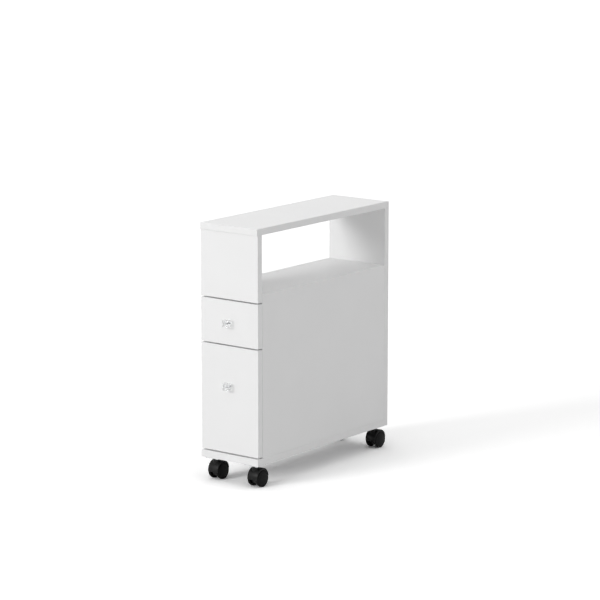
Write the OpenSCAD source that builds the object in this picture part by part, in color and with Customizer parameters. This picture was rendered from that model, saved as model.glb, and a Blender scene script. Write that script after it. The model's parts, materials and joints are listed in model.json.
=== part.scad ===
// Slim rolling bathroom cabinet of white boards: a top board, an open compartment that
// goes through from side to side, two drawers on roller runners and four twin-wheel casters.
// Frame: millimetres, +Z up, the fronts look along -Y, origin on the floor at the centre of
// the whole outline. All joints are at rest: drawers shut, casters trailing towards the back.

/* [Cabinet] */
// Width over the side panels, which the top board, fronts and back share
cabinet_w = 160; // [144:1:240]
// Depth of the top board from its front edge to its back edge
cabinet_d = 488; // [450:1:560]
// Height from the underside of the base board to the upper face of the top board
body_h = 529; // [470:1:640]
// Thickness of the top, sides, shelf and back boards
board_t = 15; // [14:0.5:18]
// Thickness of the base board, which takes the casters' screws
base_t = 16; // [15:0.5:22]
// Clear height of the open compartment
compartment_h = 132; // [110:1:170]
// How far the top and base boards stand ahead of the fronts
overhang = 2; // [0:0.5:6]

/* [Fronts] */
// Thickness of the drawer fronts and of the fixed front panel
front_t = 15; // [14:0.5:18]
// Height of the upper drawer front
upper_front_h = 99; // [80:1:120]
// Gap between one front and the next, and above the base board
front_gap = 3; // [1.5:0.5:4]
// How far the fixed front panel reaches below the shelf
front_lip = 1.5; // [0:0.5:6]
// Gap between the back of the drawer fronts and the side panels
rear_gap = 0.5; // [0.5:0.5:2]

/* [Knobs] */
// Width and height of the square knob
knob_size = 16; // [12:0.5:22]
// Depth of the clear block of the knob
knob_depth = 13; // [8:0.5:20]
// Width of the cut corners round the knob's front and back
knob_chamfer = 2; // [1:0.5:3]
// Length of the metal collar between knob and front
collar_l = 4; // [2:0.5:8]
// Diameter of the metal collar
collar_d = 9; // [8:0.5:11]
// Distance from the top of the lower front down to its knob's centre
lower_knob_drop = 89.5; // [40:0.5:140]
// Diameter of the knob's machine screw
knob_screw_d = 4; // [3:0.5:5]

/* [Drawer boxes] */
// Thickness of the drawer box's sides and back
box_t = 12; // [11:0.5:14]
// Thickness of the drawer's hardboard bottom
bottom_t = 3; // [2.5:0.5:5]
// Depth of the grooves that hold the bottom
groove_depth = 5; // [3:0.5:6]
// Height of the bottom's groove above the box's lower edge
groove_rise = 8; // [6:0.5:12]
// Height of the box's lower edge above the lower edge of its front
box_rise = 12; // [8:0.5:16]
// Distance from the top of the box down from the top of its front
box_drop = 18; // [12:0.5:24]

/* [Runners] */
// Length of the runners, and of the drawer box's sides
runner_l = 400; // [300:10:420]
// Space for a runner pair between the drawer box and the side panel
runner_space = 12.5; // [12.5:0.5:14]
// Thickness of the runners' sheet steel
sheet_t = 1.2; // [1:0.1:1.5]
// Diameter of the runners' rollers
roller_d = 16; // [14:0.5:18]
// Width of the runners' rollers
roller_w = 6.5; // [5:0.5:7]
// Diameter of the rollers' pins
roller_pin_d = 5; // [4:0.5:6]

/* [Casters] */
// Height of a caster from the floor to the base board
caster_h = 53; // [52:0.5:60]
// Diameter of the wheels
wheel_d = 38; // [34:1:40]
// Width of one wheel of the pair
wheel_w = 7; // [6:0.5:9]
// Thickness of the hood's web between the two wheels
web_t = 16; // [12:0.5:18]
// Gap between a wheel and the hood's web
wheel_gap = 0.5; // [0.4:0.1:1]
// Thickness of the hood's shell ahead of the wheels
hood_t = 1; // [1:0.5:3]
// Height of the centre of the hood's round outline above the axle
hood_lift = 3.5; // [2:0.5:6]
// Gap between the wheels' treads and the hood's shell
tread_gap = 0.5; // [0.4:0.1:1.5]
// Distance from the swivel axis back to the wheels' axle
trail = 8; // [7:0.5:11]
// Diameter of the wheels' axle
axle_d = 6; // [5:0.5:6.5]
// Diameter of the swivel pin
swivel_pin_d = 6; // [5:0.5:6.5]
// Diameter of the hood's boss round the swivel pin
boss_d = 15; // [12:0.5:18]
// Side of the square mounting plate
plate_size = 38; // [36:1:44]
// Thickness of the mounting plate
plate_t = 2; // [1.5:0.5:3]
// Distance between the screws along a side of the plate
plate_pitch = 29; // [27:0.5:32]
// Distance from the swivel axis to the side of the cabinet
caster_inset_x = 24; // [23:0.5:32]
// Distance from the swivel axis to the front and back edges of the base board
caster_inset_y = 22.5; // [22:0.5:60]

/* [Fittings] */
// Diameter of the cam locks
cam_d = 12; // [10:0.5:15]
// Depth of the cam locks
cam_depth = 9.5; // [8.5:0.5:10.5]
// Distance from a board's end to the centre of its cam lock
cam_inset = 24; // [20:0.5:30]
// Diameter of the cam bolts
cam_bolt_d = 5; // [4:0.5:6]
// Depth of a cam bolt's thread in its board
cam_thread_l = 9; // [7:0.5:11]
// Diameter of the wooden dowels
dowel_d = 8; // [6:0.5:8]
// Depth of a dowel in a board's face
dowel_face_l = 9; // [7:0.5:11]
// Depth of a dowel in a board's end
dowel_end_l = 20; // [15:0.5:25]
// Distance of the cam bolts from the middle of the narrow boards
cam_spread = 42; // [30:1:46]
// Diameter of the long screws through the base board
base_screw_d = 6.4; // [5:0.1:7]
// Length of the long screws through the base board
base_screw_l = 50; // [40:1:60]
// Diameter of the small wood screws
screw_d = 3.5; // [3:0.1:4]
// Length of the small wood screws under their heads
screw_l = 12; // [8:0.5:13]
// Diameter of the small wood screws' heads
screw_head_d = 7; // [6:0.1:7.5]
// Height of the small wood screws' heads
screw_head_h = 1; // [0.8:0.1:1]

/* [Clearances] */
// Radial clearance round pins, axles, bolts and dowels
pin_clear = 0.05; // [0.03:0.01:0.1]
// Rolling clearance above and below the runners' rollers
roller_clear = 0.3; // [0.2:0.05:0.4]
// Clearance of the drawer bottom in its grooves
groove_clear = 0.2; // [0.1:0.05:0.3]
// Gap between the caster's plate and the hood's boss
swivel_gap = 0.4; // [0.3:0.1:0.8]
// Depth of a cam lock's face below the board's face
cam_recess = 0.2; // [0.1:0.1:0.5]

/* [Hidden] */

WHITE = [0.90, 0.90, 0.90];
HARDBOARD = [0.86, 0.85, 0.83];
BEECH = [0.80, 0.66, 0.47];
ZINC = [0.72, 0.73, 0.74];
CHROME = [0.82, 0.83, 0.85];
ENAMEL = [0.93, 0.93, 0.92];
NYLON = [0.95, 0.95, 0.94];
CLEAR = [0.90, 0.92, 0.93, 0.6];
BLACK = [0.06, 0.06, 0.06];

EPS = 0.01;
// How far a cutter starts outside the face that it cuts
CUT = 1;
// Room past the tip of a screw, bolt or dowel in its hole
tip_play = 0.5;
LEFT = -1;
RIGHT = 1;

// Heights
wheel_r = wheel_d / 2;
hood_r = wheel_r + tread_gap + hood_t;
base_z = caster_h;
base_top = base_z + base_t;
top_z = base_z + body_h;
top_under = top_z - board_t;
shelf_top = top_under - compartment_h;
shelf_under = shelf_top - board_t;
fixed_low = shelf_under - front_lip;
upper_high = fixed_low - front_gap;
upper_low = upper_high - upper_front_h;
lower_high = upper_low - front_gap;
lower_low = base_top + front_gap;

// Depths: the outline runs from the knobs' faces to the rear wheels or the back
knob_reach = knob_depth + collar_l;
outline_ahead = max(knob_reach - overhang, 0);
outline_behind = max(hood_r + trail - caster_inset_y, 0);
outline_d = outline_ahead + cabinet_d + outline_behind;
top_front = -outline_d / 2 + outline_ahead;
top_back = top_front + cabinet_d;
front_face = top_front + overhang;
front_rear = front_face + front_t;
side_front = front_rear + rear_gap;
back_face = top_back - board_t;

// Widths
half_w = cabinet_w / 2;
inner_half = half_w - board_t;
box_half = inner_half - runner_space;
box_inner_half = box_half - box_t;

// Fixing lines of the carcass, measured from the corners
fix_ahead = 60;
fix_behind = 50;
side_fix_low = 40;
side_fix_high = 55;
dowel_spread = 16;

// Middles of the boards that stand on edge or lie flat
front_mid = front_face + front_t / 2;
back_mid = top_back - board_t / 2;
side_mid = half_w - board_t / 2;
shelf_mid = shelf_under + board_t / 2;

// Fittings: [point on the joint, way into the cam's board, way the cam looks, board's thickness]
top_cams = concat(
    [for (s = [LEFT, RIGHT]) [[s * cam_spread, front_mid, top_under], [0, 0, -1], [0, 1, 0], front_t]],
    [for (s = [LEFT, RIGHT]) [[s * cam_spread, back_mid, top_under], [0, 0, -1], [0, 1, 0], board_t]]
);
shelf_front_cams = [for (s = [LEFT, RIGHT])
    [[s * cam_spread, front_rear, shelf_mid], [0, 1, 0], [0, 0, -1], board_t]];
shelf_back_cams = [for (s = [LEFT, RIGHT])
    [[s * cam_spread, back_face, shelf_mid], [0, -1, 0], [0, 0, -1], board_t]];
inner_side_ys = [side_front + 2 * fix_ahead, back_face - 2 * fix_behind];
function shelf_side_cams(s) = [for (y = inner_side_ys)
    [[s * inner_half, y, shelf_mid], [-s, 0, 0], [0, 0, -1], board_t]];
side_back_zs = [base_top + side_fix_low, shelf_under - side_fix_high];
function side_back_cams(s) = [for (z = side_back_zs)
    [[s * side_mid, back_face, z], [0, -1, 0], [-s, 0, 0], board_t]];

// Dowels: [point on the joint, way into the board whose end it enters]
top_front_dowels = [for (s = [LEFT, RIGHT])
    [[s * dowel_spread, front_mid, top_under], [0, 0, -1]]];
top_back_dowels = [for (s = [LEFT, RIGHT])
    [[s * dowel_spread, back_mid, top_under], [0, 0, -1]]];
shelf_front_dowels = [[[0, front_rear, shelf_mid], [0, 1, 0]]];
shelf_back_dowels = [[[0, back_face, shelf_mid], [0, -1, 0]]];
base_side_ys = [side_front + fix_ahead, back_face - fix_behind];
function base_side_dowels(s) = [for (y = base_side_ys) [[s * side_mid, y, base_top], [0, 0, 1]]];
base_back_dowels = [[[0, back_mid, base_top], [0, 0, 1]]];
side_back_mid_z = (side_back_zs[0] + side_back_zs[1]) / 2;
function side_back_dowels(s) = [[[s * side_mid, back_face, side_back_mid_z], [0, -1, 0]]];

// Long screws up through the base board: [x, y]
function base_side_screws(s) = [for (y = inner_side_ys) [s * side_mid, y]];
base_back_spread = 22;
base_back_screws = [for (s = [LEFT, RIGHT]) [s * base_back_spread, back_mid]];
base_screw_head_d = 10;
base_screw_head_h = 4;
hex_recess_r = 2;
hex_recess_depth = 3;

// Runners: the drawer's member rides on the rail's front roller and carries its own rear roller
roller_r = roller_d / 2;
rail_setback = 2;
rail_front = side_front + rail_setback;
rail_end = rail_front + runner_l;
// Gap between the rail's flanges and the drawer's member
flange_gap = 0.8;
rail_flange = runner_space - sheet_t - flange_gap;
// How far the rail's web reaches below the drawer box
rail_drop = 1;
// Gap between a roller and the flange or runner's end beside it
roller_end_gap = 2;
roller_flange_gap = 4;
// Gap between the rollers and the heads of the rail's screws
roller_side_gap = 0.6;
// Heights above the lower edge of the drawer box
rear_roller_rise = 12;
member_flange_rise = 16;
front_roller_rise = member_flange_rise - roller_clear - roller_r;
channel_low = rear_roller_rise - roller_r - roller_clear;
channel_high = rear_roller_rise + roller_r + roller_clear;
front_roller_y = rail_front + roller_r + roller_end_gap;
member_setback = 3;
member_front = front_rear + member_setback;
member_end = front_rear + runner_l;
rear_roller_y = member_end - roller_r - roller_flange_gap;
roller_x0 = inner_half - sheet_t - screw_head_h - roller_side_gap;
// The rail's pin ends short of the heads of the drawer's screws, which pass it
rail_pin_gap = 0.4;
rail_pin_l = runner_space - sheet_t - screw_head_h - rail_pin_gap;
member_flange_w = 8;
member_foot_w = 10;
rail_screw_ys = [rail_front + 45, rail_front + runner_l / 2, rail_end - 35];
member_screw_ys = [member_front + 25, member_front + runner_l / 2, member_end - 45];
member_screw_rise = 8.2;
member_screw_tip = 1;
member_screw_l = sheet_t + box_t - groove_depth - member_screw_tip;

// Drawer boxes
upper_box_z = upper_low + box_rise;
upper_box_h = upper_front_h - box_rise - box_drop;
lower_box_z = lower_low + box_rise;
lower_box_h = lower_high - lower_low - box_rise - box_drop;
box_end = front_rear + runner_l;
tall_box_h = 120;
corner_low = 45;
corner_high = 35;
function corner_rises(box_h) = box_h > tall_box_h ? [corner_low, box_h - corner_high] : [corner_low];
corner_screw_l = 30;
function member_screw_at(s, y, box_z) = [s * (box_half + sheet_t), y, box_z + member_screw_rise];
function corner_screw_at(s, z) = [s * box_half, box_end - box_t / 2, z];

// Knobs
upper_knob_z = upper_low + upper_front_h / 2;
lower_knob_z = lower_high - lower_knob_drop;
knob_screw_head_d = 8;
knob_screw_head_h = 2.4;
knob_thread_l = 7;

// Casters
wheel_in = web_t / 2 + wheel_gap;
wheel_out = wheel_in + wheel_w;
// How far the wheels stand out past the hood's shell
hood_step = 1.5;
hood_half_w = wheel_out - hood_step;
plate_z = caster_h - plate_t;
// Height of the swivel pin's lower end above the axle
swivel_pin_rise = 6;
swivel_pin_end = wheel_r + swivel_pin_rise;
// Wall of the wheel over the end of the axle
wheel_cap_t = 2;
caster_front_y = top_front + caster_inset_y;
caster_rear_y = top_back - caster_inset_y;
caster_x = half_w - caster_inset_x;
caster_places = [for (y = [caster_front_y, caster_rear_y], s = [LEFT, RIGHT]) [s * caster_x, y]];
plate_holes = [for (x = [-1, 1], y = [-1, 1]) [x * plate_pitch / 2, y * plate_pitch / 2]];

// A straight board between two corners
module board(low, high) {
    translate(low)
        cube(high - low);
}

// Turns the Z axis to one of the six main directions
function turn(v) =
    v[2] > 0 ? [0, 0, 0] :
    v[2] < 0 ? [180, 0, 0] :
    v[0] > 0 ? [0, 90, 0] :
    v[0] < 0 ? [0, -90, 0] :
    v[1] > 0 ? [-90, 0, 0] : [90, 0, 0];

module rod(from, way, r, l) {
    translate(from)
        rotate(turn(way))
            cylinder(r = r, h = l, $fn = 32);
}

// A cross recess for a driver, cut into a head's face that looks along a way
module cross_recess(at, way, size, depth) {
    translate(at)
        rotate(turn(way))
            for (a = [0, 90])
                rotate([0, 0, a])
                    translate([-size / 2, -size / 8, -depth])
                        cube([size, size / 4, depth + EPS]);
}

// Cam bolt: a thread in one board and a rod into the cam lock of the other
module cam_bolt(f) {
    r = cam_bolt_d / 2;
    rod(f[0] - cam_thread_l * f[1], f[1], r, cam_thread_l + cam_inset - cam_d / 4);
}

module cam_lock(f) {
    centre = f[0] + cam_inset * f[1];
    face = centre + (f[3] / 2 - cam_recess) * f[2];
    cam_l = cam_depth - cam_recess;
    recess_depth = 2;
    difference() {
        rod(face - cam_l * f[2], f[2], cam_d / 2, cam_l);
        rod(f[0], f[1], cam_bolt_d / 2 + pin_clear, cam_inset - cam_d / 4 + pin_clear);
        cross_recess(face, f[2], cam_d * 0.6, recess_depth);
    }
}

module cam_holes(f) {
    centre = f[0] + cam_inset * f[1];
    rod(f[0] - (cam_thread_l + pin_clear) * f[1], f[1], cam_bolt_d / 2 + pin_clear, cam_thread_l + cam_inset);
    rod(centre + (f[3] / 2 - cam_depth - pin_clear) * f[2], f[2], cam_d / 2 + pin_clear, cam_depth + CUT);
}

module dowel_pin(f) {
    rod(f[0] - dowel_face_l * f[1], f[1], dowel_d / 2, dowel_face_l + dowel_end_l);
}

module dowel_hole(f) {
    rod(f[0] - (dowel_face_l + tip_play) * f[1], f[1], dowel_d / 2 + pin_clear,
        dowel_face_l + dowel_end_l + 2 * tip_play);
}

// Small wood screw: its head lies on a face and its shank goes in along a way
module wood_screw(at, way, l = screw_l) {
    difference() {
        union() {
            rod(at - screw_head_h * way, way, screw_head_d / 2, screw_head_h);
            rod(at - EPS * way, way, screw_d / 2, l + EPS);
        }
        cross_recess(at - screw_head_h * way, -way, screw_head_d * 0.55, screw_head_h * 0.7);
    }
}

module screw_hole(at, way, l = screw_l) {
    rod(at - CUT * way, way, screw_d / 2 + pin_clear, l + CUT + tip_play);
}

module base_screw(p) {
    shank_l = base_screw_l - base_screw_head_h;
    translate([p[0], p[1], base_z])
        difference() {
            union() {
                rod([0, 0, pin_clear], [0, 0, 1], base_screw_head_d / 2, base_screw_head_h);
                rod([0, 0, base_screw_head_h], [0, 0, 1], base_screw_d / 2, shank_l);
            }
            cylinder(r = hex_recess_r, h = hex_recess_depth, $fn = 6);
        }
}

module base_screw_hole(p) {
    head_hole_l = base_screw_head_h + 2 * pin_clear;
    translate([p[0], p[1], base_z]) {
        rod([0, 0, -CUT], [0, 0, 1], base_screw_head_d / 2 + pin_clear, head_hole_l + CUT);
        rod([0, 0, 0], [0, 0, 1], base_screw_d / 2 + pin_clear, base_screw_l + 2 * tip_play);
    }
}

// Carcass boards
module top_panel() {
    color(WHITE)
        difference() {
            board([-half_w, top_front, top_under], [half_w, top_back, top_z]);
            for (f = top_cams) cam_holes(f);
            for (f = concat(top_front_dowels, top_back_dowels)) dowel_hole(f);
        }
}

module base_panel() {
    color(WHITE)
        difference() {
            board([-half_w, top_front, base_z], [half_w, top_back, base_top]);
            for (s = [LEFT, RIGHT]) {
                for (f = base_side_dowels(s)) dowel_hole(f);
                for (p = base_side_screws(s)) base_screw_hole(p);
            }
            for (f = base_back_dowels) dowel_hole(f);
            for (p = base_back_screws) base_screw_hole(p);
            for (c = caster_places, h = plate_holes)
                screw_hole([c[0] + h[0], c[1] + h[1], plate_z], [0, 0, 1]);
        }
}

module side_panel(s) {
    x = [s * half_w, s * inner_half];
    color(WHITE)
        difference() {
            board([min(x), side_front, base_top], [max(x), back_face, shelf_top]);
            for (f = shelf_side_cams(s)) cam_holes(f);
            for (f = side_back_cams(s)) cam_holes(f);
            for (f = concat(base_side_dowels(s), side_back_dowels(s))) dowel_hole(f);
            for (p = base_side_screws(s)) base_screw_hole(p);
            for (z = [upper_box_z, lower_box_z], y = rail_screw_ys)
                screw_hole([s * (inner_half - sheet_t), y, z + rear_roller_rise], [s, 0, 0]);
        }
}

module side_panel_left() { side_panel(LEFT); }
module side_panel_right() { side_panel(RIGHT); }

module back_panel() {
    color(WHITE)
        difference() {
            board([-half_w, back_face, base_top], [half_w, top_back, top_under]);
            for (f = concat(top_cams, shelf_back_cams)) cam_holes(f);
            for (f = concat(top_back_dowels, shelf_back_dowels, base_back_dowels)) dowel_hole(f);
            for (s = [LEFT, RIGHT]) {
                for (f = side_back_cams(s)) cam_holes(f);
                for (f = side_back_dowels(s)) dowel_hole(f);
            }
            for (p = base_back_screws) base_screw_hole(p);
        }
}

module fixed_front_panel() {
    color(WHITE)
        difference() {
            board([-half_w, front_face, fixed_low], [half_w, front_rear, top_under]);
            for (f = concat(top_cams, shelf_front_cams)) cam_holes(f);
            for (f = concat(top_front_dowels, shelf_front_dowels)) dowel_hole(f);
        }
}

module shelf_panel() {
    color(WHITE)
        difference() {
            board([-inner_half, front_rear, shelf_under], [inner_half, back_face, shelf_top]);
            for (f = concat(shelf_front_cams, shelf_back_cams)) cam_holes(f);
            for (s = [LEFT, RIGHT])
                for (f = shelf_side_cams(s)) cam_holes(f);
            for (f = concat(shelf_front_dowels, shelf_back_dowels)) dowel_hole(f);
        }
}

// Fasteners of the carcass
module dowels() {
    color(BEECH)
        for (f = concat(top_front_dowels, top_back_dowels, shelf_front_dowels, shelf_back_dowels,
                base_side_dowels(LEFT), base_side_dowels(RIGHT), base_back_dowels,
                side_back_dowels(LEFT), side_back_dowels(RIGHT)))
            dowel_pin(f);
}

module cam_fittings() {
    color(ZINC)
        for (f = concat(top_cams, shelf_front_cams, shelf_back_cams, shelf_side_cams(LEFT),
                shelf_side_cams(RIGHT), side_back_cams(LEFT), side_back_cams(RIGHT))) {
            cam_bolt(f);
            cam_lock(f);
        }
}

module base_screws() {
    color(ZINC)
        for (p = concat(base_side_screws(LEFT), base_side_screws(RIGHT), base_back_screws))
            base_screw(p);
}

module wood_screws() {
    color(ZINC) {
        for (s = [LEFT, RIGHT], z = [upper_box_z, lower_box_z], y = rail_screw_ys)
            wood_screw([s * (inner_half - sheet_t), y, z + rear_roller_rise], [s, 0, 0]);
        for (c = caster_places, h = plate_holes)
            wood_screw([c[0] + h[0], c[1] + h[1], plate_z], [0, 0, 1]);
    }
}

// Runner parts are drawn for the left side and mirrored for the right
module on_side(s) {
    if (s == LEFT) children();
    else mirror([1, 0, 0]) children();
}

// Rail on the side panel: an open channel, with a roller on a pin at its front end
module runner_rail(box_z) {
    web_x = -inner_half;
    flange_x = web_x + rail_flange;
    high = box_z + channel_high;
    low = box_z + channel_low;
    low_front = front_roller_y + roller_r + roller_flange_gap;
    pin_at = [web_x, front_roller_y, box_z + front_roller_rise];
    color(ENAMEL)
        difference() {
            union() {
                board([web_x, rail_front, box_z - rail_drop], [web_x + sheet_t, rail_end, high + sheet_t]);
                board([web_x, rail_front, high], [flange_x, rail_end, high + sheet_t]);
                board([web_x, low_front, low - sheet_t], [flange_x, rail_end, low]);
                rod(pin_at, [1, 0, 0], roller_pin_d / 2, rail_pin_l);
            }
            for (y = rail_screw_ys)
                screw_hole([web_x + sheet_t, y, box_z + rear_roller_rise], [-1, 0, 0]);
        }
}

module runner_rail_upper_left() { on_side(LEFT) runner_rail(upper_box_z); }
module runner_rail_upper_right() { on_side(RIGHT) runner_rail(upper_box_z); }
module runner_rail_lower_left() { on_side(LEFT) runner_rail(lower_box_z); }
module runner_rail_lower_right() { on_side(RIGHT) runner_rail(lower_box_z); }

// A roller with a bore for its pin and a shallow waist in its tread
module roller(x, y, z) {
    waist_w = 2;
    waist_depth = 0.6;
    bore_r = roller_pin_d / 2 + pin_clear;
    translate([x, y, z])
        rotate([0, 90, 0])
            rotate_extrude($fn = 48)
                polygon([
                    [bore_r, 0], [roller_r, 0], [roller_r, (roller_w - waist_w) / 2],
                    [roller_r - waist_depth, roller_w / 2], [roller_r, (roller_w + waist_w) / 2],
                    [roller_r, roller_w], [bore_r, roller_w]
                ]);
}

module roller_pair(y, z) {
    color(NYLON)
        for (s = [LEFT, RIGHT])
            on_side(s)
                roller(-roller_x0, y, z);
}

module upper_rail_rollers() { roller_pair(front_roller_y, upper_box_z + front_roller_rise); }
module lower_rail_rollers() { roller_pair(front_roller_y, lower_box_z + front_roller_rise); }
module upper_drawer_rollers() { roller_pair(rear_roller_y, upper_box_z + rear_roller_rise); }
module lower_drawer_rollers() { roller_pair(rear_roller_y, lower_box_z + rear_roller_rise); }

// Member on the drawer: a foot under the side, a web and a flange that runs on the front roller
module runner_member(box_z) {
    web_x = -box_half - sheet_t;
    low = box_z - sheet_t;
    flange_z = box_z + member_flange_rise;
    flange_end = rear_roller_y - roller_r - roller_flange_gap;
    pin_l = roller_x0 + web_x + roller_side_gap;
    pin_at = [web_x + sheet_t / 2, rear_roller_y, box_z + rear_roller_rise];
    color(ENAMEL)
        difference() {
            union() {
                board([web_x, member_front, low], [web_x + sheet_t, member_end, flange_z + sheet_t]);
                board([web_x, member_front, low], [web_x + member_foot_w, member_end, box_z]);
                board([web_x - member_flange_w, member_front, flange_z],
                    [web_x + sheet_t, flange_end, flange_z + sheet_t]);
                rod(pin_at, [-1, 0, 0], roller_pin_d / 2, pin_l + sheet_t / 2);
            }
            for (y = member_screw_ys)
                screw_hole([web_x, y, box_z + member_screw_rise], [1, 0, 0]);
        }
}

module upper_drawer_runner_left() { on_side(LEFT) runner_member(upper_box_z); }
module upper_drawer_runner_right() { on_side(RIGHT) runner_member(upper_box_z); }
module lower_drawer_runner_left() { on_side(LEFT) runner_member(lower_box_z); }
module lower_drawer_runner_right() { on_side(RIGHT) runner_member(lower_box_z); }

// Cam fittings of a drawer join its sides to its front
function drawer_cams(box_z, box_h) = [for (s = [LEFT, RIGHT], h = corner_rises(box_h))
    [[s * (box_half - box_t / 2), front_rear, box_z + h], [0, 1, 0], [s, 0, 0], box_t]];

// The hardboard bottom's outline, grown by a clearance for its groove
module bottom_board(box_z, grow) {
    reach = box_inner_half + groove_depth - groove_clear + grow;
    board([-reach, front_rear - groove_depth + groove_clear - grow, box_z + groove_rise - grow],
        [reach, box_end + grow, box_z + groove_rise + bottom_t + grow]);
}

module drawer_front(low, high, knob_z, box_z, box_h) {
    color(WHITE)
        difference() {
            board([-half_w, front_face, low], [half_w, front_rear, high]);
            for (f = drawer_cams(box_z, box_h)) cam_holes(f);
            bottom_board(box_z, groove_clear);
            rod([0, front_face - CUT, knob_z], [0, 1, 0], knob_screw_d / 2 + pin_clear, front_t + 2 * CUT);
        }
}

module drawer_side(s, box_z, box_h) {
    x = [s * box_half, s * box_inner_half];
    color(WHITE)
        difference() {
            board([min(x), front_rear, box_z], [max(x), box_end, box_z + box_h]);
            for (f = drawer_cams(box_z, box_h)) cam_holes(f);
            bottom_board(box_z, groove_clear);
            for (y = member_screw_ys)
                screw_hole(member_screw_at(s, y, box_z), [-s, 0, 0], member_screw_l);
            for (h = corner_rises(box_h))
                screw_hole(corner_screw_at(s, box_z + h), [-s, 0, 0], corner_screw_l);
        }
}

module drawer_back(box_z, box_h) {
    color(WHITE)
        difference() {
            board([-box_inner_half, box_end - box_t, box_z + groove_rise + bottom_t + groove_clear],
                [box_inner_half, box_end, box_z + box_h]);
            for (s = [LEFT, RIGHT], h = corner_rises(box_h))
                screw_hole(corner_screw_at(s, box_z + h), [-s, 0, 0], corner_screw_l);
        }
}

module drawer_bottom(box_z) {
    color(HARDBOARD)
        bottom_board(box_z, 0);
}

module drawer_cam_fittings(box_z, box_h) {
    color(ZINC)
        for (f = drawer_cams(box_z, box_h)) {
            cam_bolt(f);
            cam_lock(f);
        }
}

// Short screws hold the runners and long ones the box's back
module drawer_screws(box_z, box_h) {
    color(ZINC)
        for (s = [LEFT, RIGHT]) {
            for (y = member_screw_ys)
                wood_screw(member_screw_at(s, y, box_z), [-s, 0, 0], member_screw_l);
            for (h = corner_rises(box_h))
                wood_screw(corner_screw_at(s, box_z + h), [-s, 0, 0], corner_screw_l);
        }
}

module upper_drawer_front() { drawer_front(upper_low, upper_high, upper_knob_z, upper_box_z, upper_box_h); }
module upper_drawer_side_left() { drawer_side(LEFT, upper_box_z, upper_box_h); }
module upper_drawer_side_right() { drawer_side(RIGHT, upper_box_z, upper_box_h); }
module upper_drawer_back() { drawer_back(upper_box_z, upper_box_h); }
module upper_drawer_bottom() { drawer_bottom(upper_box_z); }
module upper_drawer_cam_fittings() { drawer_cam_fittings(upper_box_z, upper_box_h); }
module upper_drawer_screws() { drawer_screws(upper_box_z, upper_box_h); }
module lower_drawer_front() { drawer_front(lower_low, lower_high, lower_knob_z, lower_box_z, lower_box_h); }
module lower_drawer_side_left() { drawer_side(LEFT, lower_box_z, lower_box_h); }
module lower_drawer_side_right() { drawer_side(RIGHT, lower_box_z, lower_box_h); }
module lower_drawer_back() { drawer_back(lower_box_z, lower_box_h); }
module lower_drawer_bottom() { drawer_bottom(lower_box_z); }
module lower_drawer_cam_fittings() { drawer_cam_fittings(lower_box_z, lower_box_h); }
module lower_drawer_screws() { drawer_screws(lower_box_z, lower_box_h); }

// Knob: a clear square block with cut corners on a metal collar, held by a machine screw
module knob(z) {
    block_rear = front_face - collar_l;
    narrow = knob_size / 2 - knob_chamfer;
    wide = knob_size / 2;
    color(CLEAR)
        difference() {
            hull() {
                translate([-narrow, block_rear - knob_depth, z - narrow])
                    cube([2 * narrow, knob_depth, 2 * narrow]);
                translate([-wide, block_rear - knob_depth + knob_chamfer, z - wide])
                    cube([2 * wide, knob_depth - 2 * knob_chamfer, 2 * wide]);
            }
            rod([0, block_rear + CUT, z], [0, -1, 0], knob_screw_d / 2 + pin_clear, knob_thread_l + 2 * CUT);
        }
}

module knob_collar(z) {
    rim_l = 1;
    rim_step = 1;
    color(CHROME)
        difference() {
            union() {
                rod([0, front_face, z], [0, -1, 0], collar_d / 2, rim_l);
                rod([0, front_face, z], [0, -1, 0], collar_d / 2 - rim_step, collar_l);
            }
            rod([0, front_face + CUT, z], [0, -1, 0], knob_screw_d / 2 + pin_clear, collar_l + 2 * CUT);
        }
}

module knob_screw(z) {
    shank_l = front_t + collar_l + knob_thread_l;
    head_face = [0, front_rear + knob_screw_head_h, z];
    recess_depth = 1.4;
    color(ZINC)
        difference() {
            union() {
                rod([0, front_rear, z], [0, 1, 0], knob_screw_head_d / 2, knob_screw_head_h);
                rod([0, front_rear + EPS, z], [0, -1, 0], knob_screw_d / 2, shank_l);
            }
            cross_recess(head_face, [0, 1, 0], knob_screw_head_d * 0.6, recess_depth);
        }
}

module upper_knob() { knob(upper_knob_z); }
module upper_knob_collar() { knob_collar(upper_knob_z); }
module upper_knob_screw() { knob_screw(upper_knob_z); }
module lower_knob() { knob(lower_knob_z); }
module lower_knob_collar() { knob_collar(lower_knob_z); }
module lower_knob_screw() { knob_screw(lower_knob_z); }

// Caster plates, each with its swivel pin riveted in
module caster_plates() {
    corner_r = 4;
    half = plate_size / 2;
    flat_half = half - corner_r;
    color(ZINC)
        for (c = caster_places)
            translate([c[0], c[1], 0])
                difference() {
                    union() {
                        board([-flat_half, -half, plate_z], [flat_half, half, caster_h]);
                        board([-half, -flat_half, plate_z], [half, flat_half, caster_h]);
                        for (x = [-1, 1], y = [-1, 1])
                            translate([x * flat_half, y * flat_half, plate_z])
                                cylinder(r = corner_r, h = plate_t, $fn = 32);
                        translate([0, 0, swivel_pin_end])
                            cylinder(r = swivel_pin_d / 2, h = plate_z - swivel_pin_end + EPS, $fn = 48);
                    }
                    for (h = plate_holes)
                        screw_hole([h[0], h[1], plate_z], [0, 0, 1]);
                }
}

// Lies along X, centred on an axle
module drum(r, half_l, facets = 96) {
    rotate([0, 90, 0])
        translate([0, 0, -half_l])
            cylinder(r = r, h = 2 * half_l, $fn = facets);
}

// Outline of the hood about the axle: round from the rear over the top, upright at the front
module hood_outline() {
    far = 2 * hood_r;
    skirt_drop = 1;
    intersection() {
        translate([0, 0, hood_lift])
            drum(hood_r, hood_half_w);
        board([-far, -far, hood_lift], [far, far, far]);
    }
    board([-hood_half_w, -hood_r, -skirt_drop], [hood_half_w, 0, hood_lift]);
}

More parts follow.
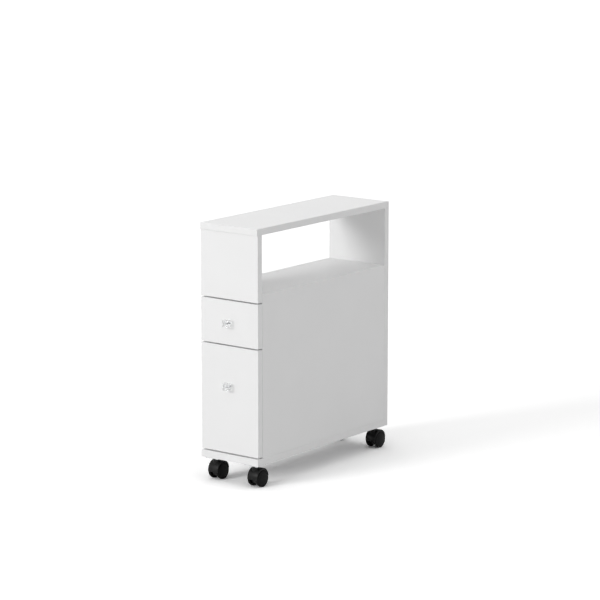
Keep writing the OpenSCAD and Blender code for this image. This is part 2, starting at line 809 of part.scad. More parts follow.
// Swivelling body: a web between the wheels, a shell over their treads and a boss for the pin
module caster_hood(c) {
    boss_top = plate_z - swivel_gap;
    boss_low = wheel_r + hood_r / 2;
    web_step = 5;
    pin_end_gap = 1;
    color(BLACK)
        translate([c[0], c[1], 0])
            difference() {
                union() {
                    translate([0, trail, wheel_r]) {
                        drum(wheel_r - web_step, web_t / 2);
                        hood_outline();
                    }
                    translate([0, 0, boss_low])
                        cylinder(r = boss_d / 2, h = boss_top - boss_low, $fn = 64);
                }
                for (s = [LEFT, RIGHT])
                    translate([s * (web_t / 2 + wheel_out), trail, wheel_r])
                        drum(wheel_r + tread_gap, wheel_out);
                translate([0, 0, swivel_pin_end - pin_end_gap])
                    cylinder(r = swivel_pin_d / 2 + pin_clear, h = caster_h, $fn = 48);
                translate([0, trail, wheel_r])
                    drum(axle_d / 2 + pin_clear, wheel_out, 48);
            }
}

module caster_axle(c) {
    color(ZINC)
        translate([c[0], c[1] + trail, wheel_r])
            drum(axle_d / 2, wheel_out - wheel_cap_t, 48);
}

// A cup-shaped wheel: a tread, an outer disc with a shallow ring, and a hub with a blind bore
module caster_wheel(c, s) {
    rim_t = 3.5;
    dish_depth = wheel_w - 2;
    hub_r = axle_d / 2 + 3;
    ring_r = wheel_r * 0.62;
    edge = 1.2;
    bore_r = axle_d / 2 + pin_clear;
    bore_l = wheel_w - wheel_cap_t + pin_clear;
    color(BLACK)
        translate([c[0], c[1] + trail, wheel_r])
            rotate([0, s * 90, 0])
                translate([0, 0, wheel_in])
                    rotate_extrude($fn = 96)
                        polygon([
                            [bore_r, 0], [hub_r, 0], [hub_r, dish_depth], [wheel_r - rim_t, dish_depth],
                            [wheel_r - rim_t, 0], [wheel_r - edge, 0], [wheel_r, edge],
                            [wheel_r, wheel_w - 2 * edge], [wheel_r - edge, wheel_w - edge / 2],
                            [ring_r + edge, wheel_w - edge / 2], [ring_r, wheel_w], [0, wheel_w],
                            [0, bore_l], [bore_r, bore_l]
                        ]);
}

module caster_hood_front_left() { caster_hood(caster_places[0]); }
module caster_axle_front_left() { caster_axle(caster_places[0]); }
module caster_wheel_left_front_left() { caster_wheel(caster_places[0], LEFT); }
module caster_wheel_right_front_left() { caster_wheel(caster_places[0], RIGHT); }
module caster_hood_front_right() { caster_hood(caster_places[1]); }
module caster_axle_front_right() { caster_axle(caster_places[1]); }
module caster_wheel_left_front_right() { caster_wheel(caster_places[1], LEFT); }
module caster_wheel_right_front_right() { caster_wheel(caster_places[1], RIGHT); }
module caster_hood_rear_left() { caster_hood(caster_places[2]); }
module caster_axle_rear_left() { caster_axle(caster_places[2]); }
module caster_wheel_left_rear_left() { caster_wheel(caster_places[2], LEFT); }
module caster_wheel_right_rear_left() { caster_wheel(caster_places[2], RIGHT); }
module caster_hood_rear_right() { caster_hood(caster_places[3]); }
module caster_axle_rear_right() { caster_axle(caster_places[3]); }
module caster_wheel_left_rear_right() { caster_wheel(caster_places[3], LEFT); }
module caster_wheel_right_rear_right() { caster_wheel(caster_places[3], RIGHT); }

top_panel();
base_panel();
side_panel_left();
side_panel_right();
back_panel();
fixed_front_panel();
shelf_panel();
dowels();
cam_fittings();
base_screws();
wood_screws();
runner_rail_upper_left();
runner_rail_upper_right();
runner_rail_lower_left();
runner_rail_lower_right();
upper_rail_rollers();
lower_rail_rollers();
caster_plates();
upper_drawer_front();
upper_drawer_side_left();
upper_drawer_side_right();
upper_drawer_back();
upper_drawer_bottom();
upper_drawer_cam_fittings();
upper_drawer_screws();
upper_drawer_runner_left();
upper_drawer_runner_right();
upper_drawer_rollers();
upper_knob();
upper_knob_collar();
upper_knob_screw();
lower_drawer_front();
lower_drawer_side_left();
lower_drawer_side_right();
lower_drawer_back();
lower_drawer_bottom();
lower_drawer_cam_fittings();
lower_drawer_screws();
lower_drawer_runner_left();
lower_drawer_runner_right();
lower_drawer_rollers();
lower_knob();
lower_knob_collar();
lower_knob_screw();
caster_hood_front_left();
caster_axle_front_left();
caster_wheel_left_front_left();
caster_wheel_right_front_left();
caster_hood_front_right();
caster_axle_front_right();
caster_wheel_left_front_right();
caster_wheel_right_front_right();
caster_hood_rear_left();
caster_axle_rear_left();
caster_wheel_left_rear_left();
caster_wheel_right_rear_left();
caster_hood_rear_right();
caster_axle_rear_right();
caster_wheel_left_rear_right();
caster_wheel_right_rear_right();
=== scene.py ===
# Slim rolling bathroom cabinet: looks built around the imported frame.
import json
import math
import bmesh
import bpy
from mathutils import Matrix, Vector

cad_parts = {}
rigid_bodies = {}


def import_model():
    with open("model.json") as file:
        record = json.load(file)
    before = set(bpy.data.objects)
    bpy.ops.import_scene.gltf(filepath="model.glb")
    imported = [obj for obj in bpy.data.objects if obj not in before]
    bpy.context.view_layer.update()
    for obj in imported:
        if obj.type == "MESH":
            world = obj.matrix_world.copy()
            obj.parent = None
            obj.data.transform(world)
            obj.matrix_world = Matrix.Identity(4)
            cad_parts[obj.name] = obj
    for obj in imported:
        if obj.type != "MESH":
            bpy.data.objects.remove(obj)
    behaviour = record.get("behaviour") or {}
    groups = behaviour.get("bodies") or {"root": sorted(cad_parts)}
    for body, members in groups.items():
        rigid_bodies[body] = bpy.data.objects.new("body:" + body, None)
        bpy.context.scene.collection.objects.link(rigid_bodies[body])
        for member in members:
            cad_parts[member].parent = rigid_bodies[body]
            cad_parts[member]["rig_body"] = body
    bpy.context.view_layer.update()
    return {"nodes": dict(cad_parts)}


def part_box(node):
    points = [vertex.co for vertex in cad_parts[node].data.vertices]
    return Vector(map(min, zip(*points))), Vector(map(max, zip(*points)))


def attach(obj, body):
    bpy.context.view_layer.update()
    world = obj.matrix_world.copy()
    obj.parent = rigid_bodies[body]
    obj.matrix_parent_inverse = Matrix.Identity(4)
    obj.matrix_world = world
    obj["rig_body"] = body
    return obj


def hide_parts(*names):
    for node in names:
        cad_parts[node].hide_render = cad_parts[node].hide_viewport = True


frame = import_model()
nodes = frame["nodes"]
scene = bpy.context.scene
MM = 0.001
SIDES = (("left", -1), ("right", 1))
PLACES = ("front_left", "front_right", "rear_left", "rear_right")


# Camera, fitted to the straight edges of the photograph
CAMERA_YAW = math.radians(37.466)
CAMERA_PITCH = math.radians(11.2018)
CAMERA_AIM = Vector((9.57, 4.5, 380.3)) * MM
CAMERA_DISTANCE = 6.0491
CAMERA_LENS = 160.798
CAMERA_SENSOR = 36
CAMERA_NEAR = 0.1
CAMERA_FAR = 100


def add_camera():
    ahead = Vector((
        -math.sin(CAMERA_YAW) * math.cos(CAMERA_PITCH),
        math.cos(CAMERA_YAW) * math.cos(CAMERA_PITCH),
        -math.sin(CAMERA_PITCH),
    ))
    right = Vector((math.cos(CAMERA_YAW), math.sin(CAMERA_YAW), 0))
    up = right.cross(ahead)
    camera = bpy.data.objects.new("camera", bpy.data.cameras.new("camera"))
    camera.data.sensor_width = CAMERA_SENSOR
    camera.data.lens = CAMERA_LENS
    camera.data.clip_start = CAMERA_NEAR
    camera.data.clip_end = CAMERA_FAR
    turn = Matrix((right, up, -ahead)).transposed().to_4x4()
    camera.matrix_world = Matrix.Translation(CAMERA_AIM - ahead * CAMERA_DISTANCE) @ turn
    scene.collection.objects.link(camera)
    scene.camera = camera


# Materials
# Noise lies mostly between these two values, which the ramps and spans take as their ends
NOISE_LOW = 0.3
NOISE_HIGH = 0.7


def add_node(tree, kind, inputs=(), **settings):
    """A new node, whose inputs are values or the outputs of other nodes."""
    made = tree.nodes.new(kind)
    for key, value in settings.items():
        setattr(made, key, value)
    for key, value in dict(inputs).items():
        if isinstance(value, bpy.types.NodeSocket):
            tree.links.new(value, made.inputs[key])
        else:
            made.inputs[key].default_value = value
    return made


class Shader:
    """A node material with procedural colour, roughness and bump. Noise scales are per metre."""

    def __init__(self, name):
        self.material = bpy.data.materials.new(name)
        self.material.use_nodes = True
        self.tree = self.material.node_tree
        self.principled = self.tree.nodes["Principled BSDF"]
        self.place = self.tree.nodes.new("ShaderNodeTexCoord").outputs["Object"]

    def set(self, **values):
        for key, value in values.items():
            self.principled.inputs[key.replace("_", " ")].default_value = value

    def node(self, kind, inputs):
        return add_node(self.tree, kind, inputs)

    def stretched(self, scale):
        return self.node("ShaderNodeMapping", {"Vector": self.place, "Scale": scale}).outputs[0]

    def noise(self, scale, detail=3.0, rough=0.5, vector=None):
        inputs = {"Vector": vector or self.place, "Scale": scale, "Detail": detail, "Roughness": rough}
        return self.node("ShaderNodeTexNoise", inputs).outputs["Fac"]

    def ramp(self, value, low, high):
        """A colour that runs from low to high with the noise."""
        made = self.node("ShaderNodeValToRGB", {"Fac": value})
        ends = made.color_ramp.elements
        for end, position, colour in ((ends[0], NOISE_LOW, low), (ends[1], NOISE_HIGH, high)):
            end.position = position
            end.color = (*colour, 1)
        return made.outputs["Color"]

    def span(self, value, low, high):
        """A number that runs from low to high with the noise."""
        inputs = {
            "Value": value, "From Min": NOISE_LOW, "From Max": NOISE_HIGH, "To Min": low, "To Max": high,
        }
        return self.node("ShaderNodeMapRange", inputs).outputs["Result"]

    def bump(self, height, distance):
        made = self.node("ShaderNodeBump", {"Height": height, "Distance": distance, "Strength": 1.0})
        self.link(made.outputs["Normal"], "Normal")

    def link(self, output, name):
        self.tree.links.new(output, self.principled.inputs[name])


def tone(value, tint=(1, 1, 1)):
    return tuple(value * t for t in tint)


def white_board():
    s = Shader("white_melamine")
    s.link(s.ramp(s.noise(9, 2), tone(0.845), tone(0.86)), "Base Color")
    s.link(s.span(s.noise(140, 4), 0.40, 0.50), "Roughness")
    s.bump(s.noise(1400, 3, 0.6), 0.00002)
    s.set(Specular_IOR_Level=0.45)
    return s.material


def edge_band():
    s = Shader("white_edge_band")
    s.link(s.ramp(s.noise(40, 2), tone(0.825), tone(0.85)), "Base Color")
    s.link(s.span(s.noise(300, 3), 0.42, 0.54), "Roughness")
    s.bump(s.noise(2200, 2, 0.6), 0.000015)
    return s.material


def bare_core():
    s = Shader("particle_board_core")
    chips = s.noise(700, 6, 0.7)
    s.link(s.ramp(chips, (0.36, 0.26, 0.16), (0.62, 0.49, 0.33)), "Base Color")
    s.link(s.span(chips, 0.75, 0.9), "Roughness")
    s.bump(chips, 0.0002)
    return s.material


def hardboard():
    s = Shader("white_lacquered_hardboard")
    tint = (1, 0.99, 0.97)
    s.link(s.ramp(s.noise(60, 4), tone(0.76, tint), tone(0.80, tint)), "Base Color")
    s.link(s.span(s.noise(200, 4), 0.45, 0.6), "Roughness")
    s.bump(s.noise(900, 4, 0.7), 0.00004)
    return s.material


def beech():
    s = Shader("beech")
    grain = s.noise(260, 5, 0.6, s.stretched((1, 1, 0.12)))
    s.link(s.ramp(grain, (0.58, 0.40, 0.23), (0.70, 0.52, 0.32)), "Base Color")
    s.link(s.span(grain, 0.55, 0.7), "Roughness")
    s.bump(grain, 0.00004)
    return s.material


def zinc():
    s = Shader("zinc_plate")
    s.link(s.ramp(s.noise(300, 2), (0.50, 0.51, 0.52), (0.56, 0.57, 0.58)), "Base Color")
    s.link(s.span(s.noise(500, 2), 0.30, 0.37), "Roughness")
    s.bump(s.noise(900, 2), 0.000004)
    s.set(Metallic=1.0)
    return s.material


def chrome():
    s = Shader("chrome")
    s.link(s.ramp(s.noise(200, 2), (0.70, 0.71, 0.72), (0.78, 0.79, 0.80)), "Base Color")
    s.link(s.span(s.noise(700, 3), 0.06, 0.14), "Roughness")
    s.set(Metallic=1.0)
    return s.material


def enamel():
    s = Shader("white_enamel")
    tint = (1, 1, 0.99)
    s.link(s.ramp(s.noise(12, 2), tone(0.80, tint), tone(0.82, tint)), "Base Color")
    s.link(s.span(s.noise(150, 2), 0.34, 0.40), "Roughness")
    s.bump(s.noise(260, 1), 0.00001)
    return s.material


def nylon():
    s = Shader("natural_nylon")
    tint = (1, 1, 0.97)
    s.link(s.ramp(s.noise(80, 3), tone(0.76, tint), tone(0.82, tint)), "Base Color")
    s.link(s.span(s.noise(500, 3), 0.32, 0.45), "Roughness")
    s.bump(s.noise(1200, 2), 0.00001)
    s.set(Subsurface_Weight=0.1, Subsurface_Scale=0.002)
    return s.material


def clear_acrylic():
    s = Shader("clear_acrylic")
    s.link(s.ramp(s.noise(90, 2), (0.78, 0.795, 0.80), (0.84, 0.85, 0.855)), "Base Color")
    s.link(s.span(s.noise(400, 3), 0.10, 0.20), "Roughness")
    s.set(Transmission_Weight=0.85, IOR=1.49, Alpha=0.55)
    return s.material


def black_hood():
    s = Shader("black_moulded_hood")
    s.link(s.ramp(s.noise(120, 4), tone(0.007), tone(0.011)), "Base Color")
    s.link(s.span(s.noise(260, 4), 0.30, 0.42), "Roughness")
    s.bump(s.noise(1600, 3, 0.6), 0.00003)
    s.set(Specular_IOR_Level=0.15)
    return s.material


def shade_darkened_black_wheel():
    s = Shader("black_nylon_wheel_painted_shade")
    # Black nylon, with painted shade: the wheels are made darker than the hood to stand in for the shade
    # on their side faces and under the hood
    s.link(s.ramp(s.noise(150, 4), tone(0.002), tone(0.004)), "Base Color")
    s.link(s.span(s.noise(300, 4), 0.38, 0.52), "Roughness")
    s.bump(s.noise(2000, 3, 0.6), 0.00002)
    s.set(Specular_IOR_Level=0.08)
    return s.material


BOARD = white_board()
BAND = edge_band()
CORE = bare_core()
# The wheels' black holds painted shade as well as the nylon's own colour
WHEEL_BLACK_AND_SHADE = shade_darkened_black_wheel()
FINISHES = {
    "white_board": BOARD,
    "hardboard": hardboard(),
    "beech": beech(),
    "zinc": zinc(),
    "chrome": chrome(),
    "enamel": enamel(),
    "nylon": nylon(),
    "knob_clear": clear_acrylic(),
    "caster_black": black_hood(),
}


def slot_of(node):
    """The record's material slot that fits a CAD node, by its name."""
    words = (
        ("dowels", "beech"), ("rollers", "nylon"), ("runner", "enamel"), ("collar", "chrome"),
        ("fittings", "zinc"), ("screw", "zinc"), ("axle", "zinc"), ("plates", "zinc"),
        ("caster", "caster_black"), ("bottom", "hardboard"), ("knob", "knob_clear"),
    )
    for word, slot in words:
        if word in node:
            return slot
    return "white_board"


def dressed(mesh, *materials):
    """mesh with these materials in place of its own."""
    mesh.materials.clear()
    for material in materials:
        mesh.materials.append(material)
    return mesh


def finish_nodes():
    for name, obj in nodes.items():
        dressed(obj.data, FINISHES[slot_of(name)])


# Mesh building
def add_piece(name, mesh, body, replaced, at=(0, 0, 0), turn=0.0):
    """A piece that rides on a body and replaces CAD nodes, placed at a point and turned about Z."""
    obj = bpy.data.objects.new(name, mesh)
    obj.location = at
    obj.rotation_euler.z = turn
    scene.collection.objects.link(obj)
    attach(obj, body)
    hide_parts(*replaced)


def to_mesh(name, bm, *materials):
    bmesh.ops.recalc_face_normals(bm, faces=bm.faces[:])
    mesh = bpy.data.meshes.new(name)
    bm.to_mesh(mesh)
    bm.free()
    for material in materials:
        mesh.materials.append(material)
    return mesh


def smoothed(mesh, angle=34):
    """mesh with smooth shading, apart from edges sharper than angle in degrees."""
    mesh.polygons.foreach_set("use_smooth", [True] * len(mesh.polygons))
    mesh.set_sharp_from_angle(angle=math.radians(angle))
    return mesh


def joined(mesh, others, operation):
    """mesh joined with other closed meshes: UNION, DIFFERENCE or INTERSECT."""
    base = bpy.data.objects.new("base", mesh)
    scene.collection.objects.link(base)
    tools = []
    for other in others:
        tool = bpy.data.objects.new("tool", other)
        scene.collection.objects.link(tool)
        tools.append(tool)
        step = base.modifiers.new("step", "BOOLEAN")
        step.operation = operation
        step.solver = "EXACT"
        step.object = tool
    evaluated = base.evaluated_get(bpy.context.evaluated_depsgraph_get())
    made = bpy.data.meshes.new_from_object(evaluated)
    made.name = mesh.name
    for obj in [base, *tools]:
        spent = obj.data
        bpy.data.objects.remove(obj)
        bpy.data.meshes.remove(spent)
    return made


def round_bar(radius, start, end, facets=48):
    """A closed cylinder mesh between two points."""
    start, end = Vector(start), Vector(end)
    bm = bmesh.new()
    turn = (end - start).to_track_quat("Z", "Y").to_matrix().to_4x4()
    place = Matrix.Translation((start + end) / 2) @ turn
    bmesh.ops.create_cone(
        bm, cap_ends=True, segments=facets, radius1=radius, radius2=radius,
        depth=(end - start).length, matrix=place)
    return to_mesh("bar", bm)


def turned(name, profile, facets=96):
    """A mesh turned about X from (x, radius) points, which start and end on the axis or close up."""
    bm = bmesh.new()
    rings = []
    for x, radius in profile:
        if radius == 0:
            rings.append([bm.verts.new((x, 0, 0))] * facets)
            continue
        turns = (2 * math.pi * i / facets for i in range(facets))
        rings.append([bm.verts.new((x, radius * math.cos(a), radius * math.sin(a))) for a in turns])
    if profile[0][1] > 0:
        rings.append(rings[0])
    for here, there in zip(rings, rings[1:]):
        for i in range(facets):
            j = (i + 1) % facets
            corners = list(dict.fromkeys((here[i], here[j], there[j], there[i])))
            bm.faces.new(corners)
    return to_mesh(name, bm)


def arc(centre, radius, start, end, steps=4):
    """Points of a round corner, in (x, radius) terms, from one angle to another in degrees."""
    angles = (math.radians(start + (end - start) * i / steps) for i in range(steps + 1))
    return [(centre[0] + radius * math.cos(a), centre[1] + radius * math.sin(a)) for a in angles]


def cuboid(size):
    """A bmesh box about the origin."""
    bm = bmesh.new()
    bmesh.ops.create_cube(bm, size=1)
    bmesh.ops.scale(bm, vec=size, verts=bm.verts[:])
    return bm


def bevel(bm, edges, offset, segments=3):
    """Rounds edges of a bmesh, or cuts them off flat with one segment."""
    bmesh.ops.bevel(
        bm, geom=edges, offset=offset, segments=segments, profile=0.5,
        affect="EDGES", clamp_overlap=True)
    bm.normal_update()


# Boards
EDGE_ROUND = 0.5 * MM
BAND_T = 0.8 * MM
CUT_PAST = 0.02 * MM
# A face counts as square to an axis when its normal has more than this share along it
FLAT = 0.999
# A board's materials and their places: broad faces, narrow faces, walls of holes and grooves
BOARD_FINISHES = (BOARD, BAND, CORE)
BROAD, NARROW, CUT = range(3)


def cut_shape(node):
    """The CAD board with its holes and grooves, drawn out a hair past its faces for a clean cut."""
    low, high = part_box(node)
    centre, size = (low + high) / 2, high - low
    mesh = nodes[node].data.copy()
    grown = Matrix.Diagonal([1 + 2 * CUT_PAST / s for s in size] + [1])
    mesh.transform(Matrix.Translation(centre) @ grown @ Matrix.Translation(-centre))
    return mesh


def slab(node):
    """A board with rounded edges, a band round its narrow faces and the CAD board's holes and grooves."""
    low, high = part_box(node)
    size = high - low
    thin = min(range(3), key=lambda i: size[i])
    bm = cuboid(size)
    bevel(bm, bm.edges[:], EDGE_ROUND)
    for face in bm.faces:
        face.material_index = NARROW
        face.smooth = max(abs(c) for c in face.normal) < FLAT
    broad = [f for f in bm.faces if abs(f.normal[thin]) > FLAT]
    bmesh.ops.inset_individual(bm, faces=broad, thickness=BAND_T - EDGE_ROUND)
    for face in broad:
        face.material_index = BROAD
    bmesh.ops.translate(bm, vec=(low + high) / 2, verts=bm.verts[:])
    cutter = dressed(cut_shape(node), *BOARD_FINISHES)
    for face in cutter.polygons:
        face.material_index = CUT
        face.use_smooth = False
    mesh = joined(to_mesh(node, bm, *BOARD_FINISHES), [cutter], "INTERSECT")
    add_piece(node + "_board", mesh, nodes[node]["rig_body"], [node])


def boards():
    for node in nodes:
        if slot_of(node) == "white_board":
            slab(node)


# A bore's cutter starts this far outside the piece
CUT_START = 1 * MM


# Knobs
KNOB_ROUND = 0.35 * MM
KNOB_CHAMFER = 2 * MM
BORE_R = 2.05 * MM
BORE_L = 8 * MM


def knobs():
    """Clear square blocks with cut and rounded corners, bored at the rear for the screw."""
    for drawer in ("upper", "lower"):
        node = drawer + "_knob"
        low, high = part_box(node)
        size = high - low
        bm = cuboid(size)
        rims = [e for e in bm.edges if abs((e.verts[1].co - e.verts[0].co).y) < MM]
        bevel(bm, rims, KNOB_CHAMFER, segments=1)
        bevel(bm, bm.edges[:], KNOB_ROUND)
        # Only the roundings' narrow strips are shaded smooth
        for face in bm.faces:
            face.smooth = face.calc_area() < size.y * KNOB_ROUND * 2
        bmesh.ops.translate(bm, vec=(low + high) / 2, verts=bm.verts[:])
        z = (low.z + high.z) / 2
        bore = round_bar(BORE_R, (0, high.y + CUT_START, z), (0, high.y - BORE_L, z))
        mesh = joined(to_mesh(node, bm, FINISHES["knob_clear"]), [bore], "DIFFERENCE")
        add_piece(node + "_block", mesh, drawer + "_drawer", [node])


# Casters
TRAIL = 8 * MM
AXLE_Z = 19 * MM
WHEEL_R = 19 * MM
WHEEL_W = 7 * MM
# Inner and outer faces of the wheels, from the middle of the caster
WHEEL_IN = 8.5 * MM
WHEEL_OUT = WHEEL_IN + WHEEL_W
# The web between the wheels is a disc about the axle
WEB_HALF = 8 * MM
WEB_R = 14 * MM
# The shell over the wheels is round inside about the axle, and outside about a centre above it
HOOD_HALF = 14 * MM
HOOD_IN = 19.5 * MM
HOOD_R = 20.5 * MM
HOOD_LIFT = 3.5 * MM
HOOD_ROUND = 1.1 * MM
HOOD_END_ROUND = 0.4 * MM
# The hood's corners take at most this share of its shell's thickness
ROUND_SHARE = 0.45
LEAST_ROUND = 0.05 * MM
# Angles round the axle in degrees from straight ahead: front end, start of the round part, rear end
HOOD_FRONT = -2.8
HOOD_TURN = 9.7
HOOD_REAR = 170.3
BOSS_R = 7.5 * MM
# Heights above the floor: the boss's top and the lower end of its bore for the pin
BOSS_TOP = 50.6 * MM
PIN_BORE_LOW = 24 * MM
PIN_BORE_R = 3.05 * MM
AXLE_BORE_R = 3.05 * MM


def wheel_mesh():
    """One wheel, turned about X, from its inner face at x = 0 to its outer face."""
    hub_r, rim_in = 6 * MM, 15.5 * MM
    disc_t, bore_lead = 2 * MM, 0.4 * MM
    dish = WHEEL_W - disc_t
    bore_end = dish + 0.2 * MM
    corner = 1.6 * MM
    cap_r, cap_step = 11.6 * MM, 0.45 * MM
    groove_r, groove_w, groove_deep = 16.4 * MM, 0.5 * MM, 0.45 * MM
    face = WHEEL_W - cap_step
    profile = [
        (bore_end, 0), (bore_end, AXLE_BORE_R), (bore_lead, AXLE_BORE_R), (0, AXLE_BORE_R + bore_lead),
        (0, hub_r), (dish, hub_r), (dish, rim_in), (0, rim_in),
        *arc((corner, WHEEL_R - corner), corner, 180, 90),
        (WHEEL_W / 2, WHEEL_R),
        *arc((face - corner, WHEEL_R - corner), corner, 90, 0),
        (face, groove_r + groove_w), (face - groove_deep, groove_r + groove_w / 3),
        (face - groove_deep, groove_r - groove_w / 3), (face, groove_r - groove_w),
        (face, cap_r + 2 * cap_step), (WHEEL_W - cap_step / 3, cap_r + cap_step / 3),
        (WHEEL_W, cap_r - cap_step), (WHEEL_W, 0),
    ]
    return smoothed(turned("caster_wheel", profile))


def hood_reach(degrees):
    """Distance from the axle to the hood's outline, which is upright in front and round above."""
    a = math.radians(degrees)
    if degrees < HOOD_TURN:
        return HOOD_R / math.cos(a)
    return HOOD_LIFT * math.sin(a) + math.sqrt(HOOD_R ** 2 - (HOOD_LIFT * math.cos(a)) ** 2)


def hood_section(reach, inset):
    """Cross-section of the hood's shell out to reach, as (x, radius) points, drawn in by inset."""
    corner = max(min(HOOD_ROUND, (reach - HOOD_IN) * ROUND_SHARE) - inset, LEAST_ROUND)
    half = HOOD_HALF - inset
    low, high = HOOD_IN + inset, reach - inset
    return (
        arc((half - corner, high - corner), corner, 0, 90)
        + arc((corner - half, high - corner), corner, 90, 180)
        + arc((corner - half, low + corner), corner, 180, 270)
        + arc((half - corner, low + corner), corner, 270, 360)
    )


def swept(name, stations):
    """A closed mesh through stations of (degrees round X from the front, (x, radius) section)."""
    bm = bmesh.new()
    rings = []
    for degrees, section in stations:
        a = math.radians(degrees)
        rings.append([bm.verts.new((x, -r * math.cos(a), r * math.sin(a))) for x, r in section])
    for here, there in zip(rings, rings[1:]):
        for i in range(len(here)):
            bm.faces.new((here[i - 1], here[i], there[i], there[i - 1]))
    bm.faces.new(rings[0])
    bm.faces.new(rings[-1])
    return to_mesh(name, bm)


def hood_stations():
    """Stations of the hood's shell over the wheels, with its two ends rounded off."""
    ends = []
    end_steps = 3
    for step in range(end_steps + 1):
        a = math.radians(90 * step / end_steps)
        run = math.degrees(HOOD_END_ROUND * (1 - math.cos(a)) / HOOD_R)
        ends.append((run, HOOD_END_ROUND * (1 - math.sin(a))))
    front = [(HOOD_FRONT + run, inset) for run, inset in ends]
    rear = [(HOOD_REAR - run, inset) for run, inset in reversed(ends)]
    first, last = front[-1][0], rear[0][0]
    steps = 60
    middle = [(first + (last - first) * i / steps, 0) for i in range(1, steps)]
    return [(a, hood_section(hood_reach(a), inset)) for a, inset in front + middle + rear]


def filler_stations():
    """Stations of the solid middle of the hood, between the web and the shell."""
    filler_in, sunk, step = 10 * MM, 0.5 * MM, 3
    stations = []
    for a in range(math.ceil(HOOD_FRONT), math.floor(HOOD_REAR), step):
        high = hood_reach(a) - sunk
        section = [(WEB_HALF, filler_in), (WEB_HALF, high), (-WEB_HALF, high), (-WEB_HALF, filler_in)]
        stations.append((a, section))
    return stations


def hood_mesh():
    """The swivelling body about the axle's centre: web, shell over the wheels and boss for the pin."""
    web_round, boss_round = 0.6 * MM, 0.7 * MM
    boss_low, top = 12 * MM, BOSS_TOP - AXLE_Z
    web = turned("web", [
        (-WEB_HALF, 0), *arc((web_round - WEB_HALF, WEB_R - web_round), web_round, 180, 90),
        *arc((WEB_HALF - web_round, WEB_R - web_round), web_round, 90, 0), (WEB_HALF, 0),
    ])
    shell = swept("shell", hood_stations())
    filler = swept("filler", filler_stations())
    boss = turned("boss", [
        (boss_low, 0), (boss_low, BOSS_R),
        *arc((top - boss_round, BOSS_R - boss_round), boss_round, 90, 0), (top, 0),
    ], facets=64)
    upright = Matrix.Translation((0, -TRAIL, 0)) @ Matrix.Rotation(-math.pi / 2, 4, "Y")
    boss.transform(upright)
    hood = joined(shell, [web, filler, boss], "UNION")
    pin_bore = round_bar(PIN_BORE_R, (0, -TRAIL, PIN_BORE_LOW - AXLE_Z), (0, -TRAIL, top + CUT_START))
    axle_bore = round_bar(AXLE_BORE_R, (-WHEEL_OUT, 0, 0), (WHEEL_OUT, 0, 0))
    return smoothed(joined(hood, [pin_bore, axle_bore], "DIFFERENCE"))


def casters():
    wheel = dressed(wheel_mesh(), WHEEL_BLACK_AND_SHADE)
    hood = dressed(hood_mesh(), FINISHES["caster_black"])
    for place in PLACES:
        low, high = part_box("caster_axle_" + place)
        centre = (low + high) / 2
        centre.z = AXLE_Z
        replaced = ["caster_hood_" + place]
        add_piece("caster_body_" + place, hood, "caster_" + place, replaced, centre)
        for side, way in SIDES:
            node = f"caster_wheel_{side}_{place}"
            at = centre + Vector((way * WHEEL_IN, 0, 0))
            turn = math.pi if way < 0 else 0.0
            add_piece(node + "_tyre", wheel, node, [node], at, turn)


# Light and floor
def emptied(owner):
    """The node tree of a world or material, with no nodes in it."""
    owner.use_nodes = True
    owner.node_tree.nodes.clear()
    return owner.node_tree


def by_ray(tree, kind, for_light, as_seen):
    """Ends a tree in as_seen for camera, glossy and transmission rays, and in for_light for the rest."""
    path = add_node(tree, "ShaderNodeLightPath")
    seen = path.outputs["Is Camera Ray"]
    for name in ("Is Glossy Ray", "Is Transmission Ray"):
        pair = {0: seen, 1: path.outputs[name]}
        seen = add_node(tree, "ShaderNodeMath", pair, operation="MAXIMUM").outputs[0]
    mix = add_node(tree, "ShaderNodeMixShader", {0: seen, 1: for_light.outputs[0], 2: as_seen.outputs[0]})
    add_node(tree, kind, {"Surface": mix.outputs[0]})


WHITE = (1, 1, 1, 1)
# Sky light straight up, which fades to none at the horizon
SKY_HIGH = 1.10


def add_world():
    """A sky that lights the cabinet, with a plain white background where it is seen."""
    scene.world = bpy.data.worlds.new("studio")
    tree = emptied(scene.world)
    place = add_node(tree, "ShaderNodeTexCoord").outputs["Generated"]
    way = add_node(tree, "ShaderNodeSeparateXYZ", {"Vector": place})
    rise = add_node(tree, "ShaderNodeMapRange", {"Value": way.outputs["Z"], "To Max": SKY_HIGH})
    sky = add_node(tree, "ShaderNodeBackground", {"Color": WHITE, "Strength": rise.outputs["Result"]})
    background = add_node(tree, "ShaderNodeBackground", {"Color": WHITE})
    by_ray(tree, "ShaderNodeOutputWorld", sky, background)


FLOOR_REACH = 30.0
FLOOR_GRID = 4
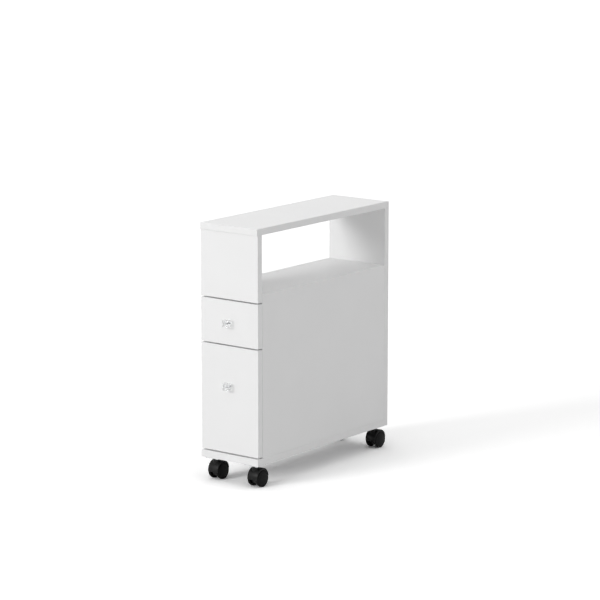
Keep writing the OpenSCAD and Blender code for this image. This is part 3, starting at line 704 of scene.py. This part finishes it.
# The floor's tone for the light it throws back, and its brighter tone where it is seen
FLOOR_TONE = 0.65
FLOOR_SEEN = 1.22
# The floor turns to the white of the background between these distances from the cabinet
FADE_START = 1.5
FADE_END = 7.0
FADE_LIFT = 0.4


def add_floor():
    bm = bmesh.new()
    bmesh.ops.create_grid(bm, x_segments=FLOOR_GRID, y_segments=FLOOR_GRID, size=FLOOR_REACH)
    material = bpy.data.materials.new("pale_floor")
    tree = emptied(material)
    plain, seen = (
        add_node(tree, "ShaderNodeBsdfDiffuse", {"Color": (*tone(value), 1)})
        for value in (FLOOR_TONE, FLOOR_SEEN)
    )
    place = add_node(tree, "ShaderNodeTexCoord").outputs["Object"]
    away = add_node(tree, "ShaderNodeVectorMath", {0: place}, operation="LENGTH").outputs["Value"]
    fade = add_node(tree, "ShaderNodeMapRange", {
        "Value": away, "From Min": FADE_START, "From Max": FADE_END, "To Max": FADE_LIFT,
    })
    lift = add_node(tree, "ShaderNodeEmission", {"Strength": fade.outputs["Result"]})
    faded = add_node(tree, "ShaderNodeAddShader", {0: seen.outputs[0], 1: lift.outputs[0]})
    by_ray(tree, "ShaderNodeOutputMaterial", plain, faded)
    floor = bpy.data.objects.new("floor", to_mesh("floor", bm, material))
    scene.collection.objects.link(floor)


# Each lamp: the way it lies from the cabinet, its size across and its power
LAMP_AIM = Vector((0, 0, 0.3))
LAMP_DISTANCE = 10.0
LAMPS = {
    "key": (Vector((-0.33, -1, 0.38)), 3.4, 454),
    "fill": (Vector((1, 0.25, 0.35)), 8.0, 106),
}


def add_lights():
    for name, (way, size, power) in LAMPS.items():
        data = bpy.data.lights.new(name, "AREA")
        data.shape = "DISK"
        data.size = size
        data.energy = power
        lamp = bpy.data.objects.new(name, data)
        lamp.location = LAMP_AIM + way.normalized() * LAMP_DISTANCE
        lamp.rotation_euler = (LAMP_AIM - lamp.location).to_track_quat("-Z", "Y").to_euler()
        scene.collection.objects.link(lamp)


scene.view_settings.view_transform = "Standard"
add_camera()
add_world()
add_floor()
add_lights()
finish_nodes()
boards()
knobs()
casters()
